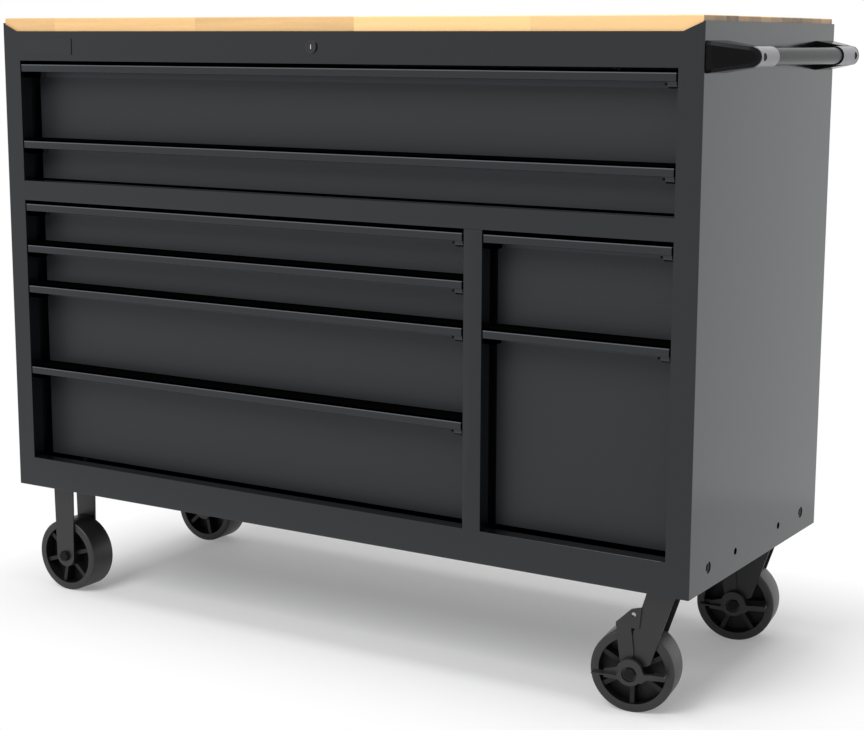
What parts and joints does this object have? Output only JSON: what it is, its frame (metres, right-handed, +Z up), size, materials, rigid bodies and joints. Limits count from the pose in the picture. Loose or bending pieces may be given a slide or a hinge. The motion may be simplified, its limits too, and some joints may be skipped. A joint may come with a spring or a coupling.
{
  "type": "rolling tool cabinet",
  "caption": "Wide steel tool cabinet on casters with full-width and lower drawers, wooden worktop, key lock and a side push handle.",
  "frame": {"origin": "middle of the whole footprint, on the floor under the casters", "axes": "+X to the side with the handle, along the cabinet's width; drawers open towards -Y; +Z up"},
  "size_m": [1.3814, 0.5258, 1.0273],
  "materials": {
    "body_paint": "satin powder coat, near black",
    "inner_paint": "satin powder coat, near black",
    "worktop_wood": "clear lacquered light hardwood, edge glued staves",
    "slide_steel": "bright zinc plated",
    "grip_aluminium": "satin anodised",
    "sleeve_plastic": "moulded, light grey",
    "bracket_plastic": "moulded, glossy black",
    "caster_steel": "satin black coating",
    "wheel_plastic": "moulded, dark grey",
    "lock_chrome": "polished plating",
    "bar_steel": "zinc plated",
    "plate_aluminium": "satin plate",
    "bolt_steel": "black oxide"
  },
  "bodies": {
    "cabinet": {"left_side_panel": "body_paint", "right_side_panel": "body_paint", "bottom_pan": "body_paint", "back_panel": "body_paint", "top_rail": "body_paint", "middle_rail": "body_paint", "bottom_rail": "body_paint", "center_post": "body_paint", "divider_panel": "inner_paint", "top_deck": "inner_paint", "worktop": "worktop_wood", "name_plate": "plate_aluminium", "slide_rails": "slide_steel", "lock_barrel": "lock_chrome", "front_handle_bracket": "bracket_plastic", "rear_handle_bracket": "bracket_plastic", "handle_sleeves": "sleeve_plastic", "handle_tube": "grip_aluminium", "fixed_fork_front": "caster_steel", "fixed_fork_rear": "caster_steel", "fixed_axles": "bolt_steel", "swivel_plates": "caster_steel", "cabinet_fasteners": "bolt_steel"},
    "upper_tall_drawer": {"upper_tall_drawer": "body_paint", "upper_tall_drawer_pull": "body_paint"},
    "upper_tall_drawer_slides": {"upper_tall_drawer_slides": "slide_steel"},
    "upper_shallow_drawer": {"upper_shallow_drawer": "body_paint", "upper_shallow_drawer_pull": "body_paint"},
    "upper_shallow_drawer_slides": {"upper_shallow_drawer_slides": "slide_steel"},
    "left_drawer_1": {"left_drawer_1": "body_paint", "left_drawer_1_pull": "body_paint"},
    "left_drawer_1_slides": {"left_drawer_1_slides": "slide_steel"},
    "left_drawer_2": {"left_drawer_2": "body_paint", "left_drawer_2_pull": "body_paint"},
    "left_drawer_2_slides": {"left_drawer_2_slides": "slide_steel"},
    "left_drawer_3": {"left_drawer_3": "body_paint", "left_drawer_3_pull": "body_paint"},
    "left_drawer_3_slides": {"left_drawer_3_slides": "slide_steel"},
    "left_drawer_4": {"left_drawer_4": "body_paint", "left_drawer_4_pull": "body_paint"},
    "left_drawer_4_slides": {"left_drawer_4_slides": "slide_steel"},
    "right_drawer_1": {"right_drawer_1": "body_paint", "right_drawer_1_pull": "body_paint"},
    "right_drawer_1_slides": {"right_drawer_1_slides": "slide_steel"},
    "right_drawer_2": {"right_drawer_2": "body_paint", "right_drawer_2_pull": "body_paint"},
    "right_drawer_2_slides": {"right_drawer_2_slides": "slide_steel"},
    "lock_bar": {"lock_bar": "bar_steel"},
    "lock_plug": {"lock_plug": "lock_chrome"},
    "fixed_wheel_front": {"fixed_wheel_front": "wheel_plastic"},
    "swivel_fork_front": {"swivel_fork_front": "caster_steel", "swivel_axle_front": "bolt_steel"},
    "swivel_wheel_front": {"swivel_wheel_front": "wheel_plastic"},
    "brake_pedal_front": {"brake_pedal_front": "wheel_plastic"},
    "fixed_wheel_rear": {"fixed_wheel_rear": "wheel_plastic"},
    "swivel_fork_rear": {"swivel_fork_rear": "caster_steel", "swivel_axle_rear": "bolt_steel"},
    "swivel_wheel_rear": {"swivel_wheel_rear": "wheel_plastic"},
    "brake_pedal_rear": {"brake_pedal_rear": "wheel_plastic"}
  },
  "joints": [
    {"name": "upper_tall_drawer_travel", "type": "slide", "parent": "cabinet", "child": "upper_tall_drawer", "axis": [0, -1, 0], "range_m": [0, 0.4]},
    {"name": "upper_tall_drawer_slides_travel", "type": "slide", "parent": "cabinet", "child": "upper_tall_drawer_slides", "axis": [0, -1, 0], "range_m": [0, 0.2]},
    {"name": "upper_shallow_drawer_travel", "type": "slide", "parent": "cabinet", "child": "upper_shallow_drawer", "axis": [0, -1, 0], "range_m": [0, 0.4]},
    {"name": "upper_shallow_drawer_slides_travel", "type": "slide", "parent": "cabinet", "child": "upper_shallow_drawer_slides", "axis": [0, -1, 0], "range_m": [0, 0.2]},
    {"name": "left_drawer_1_travel", "type": "slide", "parent": "cabinet", "child": "left_drawer_1", "axis": [0, -1, 0], "range_m": [0, 0.4]},
    {"name": "left_drawer_1_slides_travel", "type": "slide", "parent": "cabinet", "child": "left_drawer_1_slides", "axis": [0, -1, 0], "range_m": [0, 0.2]},
    {"name": "left_drawer_2_travel", "type": "slide", "parent": "cabinet", "child": "left_drawer_2", "axis": [0, -1, 0], "range_m": [0, 0.4]},
    {"name": "left_drawer_2_slides_travel", "type": "slide", "parent": "cabinet", "child": "left_drawer_2_slides", "axis": [0, -1, 0], "range_m": [0, 0.2]},
    {"name": "left_drawer_3_travel", "type": "slide", "parent": "cabinet", "child": "left_drawer_3", "axis": [0, -1, 0], "range_m": [0, 0.4]},
    {"name": "left_drawer_3_slides_travel", "type": "slide", "parent": "cabinet", "child": "left_drawer_3_slides", "axis": [0, -1, 0], "range_m": [0, 0.2]},
    {"name": "left_drawer_4_travel", "type": "slide", "parent": "cabinet", "child": "left_drawer_4", "axis": [0, -1, 0], "range_m": [0, 0.4]},
    {"name": "left_drawer_4_slides_travel", "type": "slide", "parent": "cabinet", "child": "left_drawer_4_slides", "axis": [0, -1, 0], "range_m": [0, 0.2]},
    {"name": "right_drawer_1_travel", "type": "slide", "parent": "cabinet", "child": "right_drawer_1", "axis": [0, -1, 0], "range_m": [0, 0.4]},
    {"name": "right_drawer_1_slides_travel", "type": "slide", "parent": "cabinet", "child": "right_drawer_1_slides", "axis": [0, -1, 0], "range_m": [0, 0.2]},
    {"name": "right_drawer_2_travel", "type": "slide", "parent": "cabinet", "child": "right_drawer_2", "axis": [0, -1, 0], "range_m": [0, 0.4]},
    {"name": "right_drawer_2_slides_travel", "type": "slide", "parent": "cabinet", "child": "right_drawer_2_slides", "axis": [0, -1, 0], "range_m": [0, 0.2]},
    {"name": "lock_bar_lift", "type": "slide", "parent": "cabinet", "child": "lock_bar", "axis": [0, 0, 1], "range_m": [0, 0.0113]},
    {"name": "lock_turn", "type": "hinge", "parent": "cabinet", "child": "lock_plug", "pos_m": [-0.0307, -0.25013, 0.981], "axis": [0, -1, 0], "range_deg": [0, 90]},
    {"name": "fixed_wheel_front_spin", "type": "hinge", "parent": "cabinet", "child": "fixed_wheel_front", "pos_m": [-0.6087, -0.19513, 0.065], "axis": [0, 1, 0], "continuous": true},
    {"name": "swivel_front", "type": "hinge", "parent": "cabinet", "child": "swivel_fork_front", "pos_m": [0.5683, -0.19513, 0.185], "axis": [0, 0, 1], "continuous": true},
    {"name": "swivel_wheel_front_spin", "type": "hinge", "parent": "swivel_fork_front", "child": "swivel_wheel_front", "pos_m": [0.52743, -0.20233, 0.065], "axis": [-0.1736, 0.9848, 0], "continuous": true},
    {"name": "brake_pedal_front_rock", "type": "hinge", "parent": "swivel_fork_front", "child": "brake_pedal_front", "pos_m": [0.52743, -0.20233, 0.065], "axis": [-0.1736, 0.9848, 0], "range_deg": [0, 25]},
    {"name": "fixed_wheel_rear_spin", "type": "hinge", "parent": "cabinet", "child": "fixed_wheel_rear", "pos_m": [-0.6087, 0.19987, 0.065], "axis": [0, 1, 0], "continuous": true},
    {"name": "swivel_rear", "type": "hinge", "parent": "cabinet", "child": "swivel_fork_rear", "pos_m": [0.5683, 0.19987, 0.185], "axis": [0, 0, 1], "continuous": true},
    {"name": "swivel_wheel_rear_spin", "type": "hinge", "parent": "swivel_fork_rear", "child": "swivel_wheel_rear", "pos_m": [0.52743, 0.19267, 0.065], "axis": [-0.1736, 0.9848, 0], "continuous": true},
    {"name": "brake_pedal_rear_rock", "type": "hinge", "parent": "swivel_fork_rear", "child": "brake_pedal_rear", "pos_m": [0.52743, 0.19267, 0.065], "axis": [-0.1736, 0.9848, 0], "range_deg": [0, 25]}
  ],
  "couplings": [
    {"joint": "upper_tall_drawer_slides_travel", "follows": "upper_tall_drawer_travel", "ratio": 0.5},
    {"joint": "upper_shallow_drawer_slides_travel", "follows": "upper_shallow_drawer_travel", "ratio": 0.5},
    {"joint": "left_drawer_1_slides_travel", "follows": "left_drawer_1_travel", "ratio": 0.5},
    {"joint": "left_drawer_2_slides_travel", "follows": "left_drawer_2_travel", "ratio": 0.5},
    {"joint": "left_drawer_3_slides_travel", "follows": "left_drawer_3_travel", "ratio": 0.5},
    {"joint": "left_drawer_4_slides_travel", "follows": "left_drawer_4_travel", "ratio": 0.5},
    {"joint": "right_drawer_1_slides_travel", "follows": "right_drawer_1_travel", "ratio": 0.5},
    {"joint": "right_drawer_2_slides_travel", "follows": "right_drawer_2_travel", "ratio": 0.5},
    {"joint": "lock_turn", "follows": "lock_bar_lift", "rad_per_m": 138.84}
  ]
}
